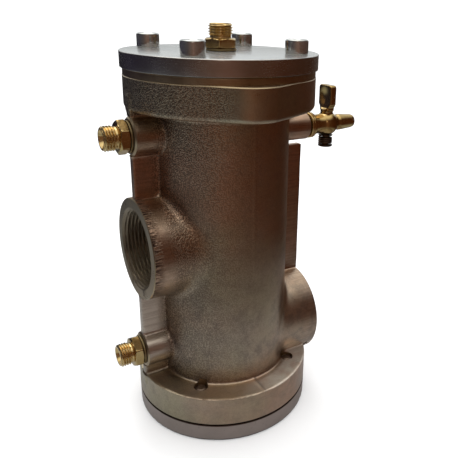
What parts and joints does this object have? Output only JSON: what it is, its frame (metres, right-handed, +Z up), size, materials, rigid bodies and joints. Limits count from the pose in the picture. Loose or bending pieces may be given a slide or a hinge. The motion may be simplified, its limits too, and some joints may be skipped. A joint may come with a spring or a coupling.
{
  "type": "upright pipe strainer housing",
  "caption": "Upright bronze strainer housing with a bolted lid and bottom cover, side ports at two heights, pipe couplings, a vent cock and a lift-out screen.",
  "frame": {"origin": "centre of the bottom cover's lower face", "axes": "+Z up along the tube, inlet port facing -X, outlet port facing +X"},
  "size_m": [0.1713, 0.124, 0.241],
  "materials": {
    "bronze": "cast, satin, bead blasted",
    "machined": "turned, matt",
    "steel": "zinc plated, satin",
    "brass": "turned, semi-bright",
    "zinc": "dull zinc plate",
    "rubber": "matt nitrile",
    "stainless": "satin stainless",
    "blackened": "blackened steel"
  },
  "bodies": {
    "housing_body": {"housing": "bronze", "bottom_cover": "bronze", "bottom_o_ring": "rubber", "bottom_screw_1": "steel", "bottom_screw_2": "steel", "bottom_screw_3": "steel", "bottom_screw_4": "steel", "upper_nipple": "brass", "upper_nipple_washer": "zinc", "lower_nipple": "brass", "lower_nipple_washer": "zinc", "cock_body": "brass", "cock_seal_washer": "zinc"},
    "lid_body": {"lid": "machined", "lid_o_ring": "rubber", "top_nipple": "brass", "top_nipple_washer": "zinc"},
    "lid_screw_1_body": {"lid_screw_1": "steel"},
    "lid_screw_2_body": {"lid_screw_2": "steel"},
    "lid_screw_3_body": {"lid_screw_3": "steel"},
    "lid_screw_4_body": {"lid_screw_4": "steel"},
    "screen_body": {"screen_cage": "stainless", "screen_mesh": "stainless", "screen_cap": "brass", "screen_foot": "brass", "screen_foot_o_ring": "rubber"},
    "bail_body": {"bail_handle": "stainless"},
    "cock_plug_body": {"cock_plug": "brass", "cock_spring": "blackened", "cock_spring_washer": "blackened", "cock_end_nut": "blackened"}
  },
  "joints": [
    {"name": "lid_lift", "type": "slide", "parent": "housing_body", "child": "lid_body", "axis": [0, 0, 1], "range_m": [0, 0.32]},
    {"name": "lid_screw_1_withdraw", "type": "slide", "parent": "lid_body", "child": "lid_screw_1_body", "axis": [0, 0, 1], "range_m": [0, 0.036]},
    {"name": "lid_screw_2_withdraw", "type": "slide", "parent": "lid_body", "child": "lid_screw_2_body", "axis": [0, 0, 1], "range_m": [0, 0.036]},
    {"name": "lid_screw_3_withdraw", "type": "slide", "parent": "lid_body", "child": "lid_screw_3_body", "axis": [0, 0, 1], "range_m": [0, 0.036]},
    {"name": "lid_screw_4_withdraw", "type": "slide", "parent": "lid_body", "child": "lid_screw_4_body", "axis": [0, 0, 1], "range_m": [0, 0.036]},
    {"name": "screen_lift", "type": "slide", "parent": "housing_body", "child": "screen_body", "axis": [0, 0, 1], "range_m": [0, 0.16]},
    {"name": "bail_swing", "type": "hinge", "parent": "screen_body", "child": "bail_body", "pos_m": [0, 0, 0.194], "axis": [1, 0, 0], "range_deg": [0, 180]},
    {"name": "cock_turn", "type": "hinge", "parent": "housing_body", "child": "cock_plug_body", "pos_m": [0.0784, 0, 0.178], "axis": [0, 0, 1], "range_deg": [0, 90]}
  ],
  "couplings": [
    {"joint": "screen_lift", "follows": "lid_lift", "ratio": 0.5}
  ]
}
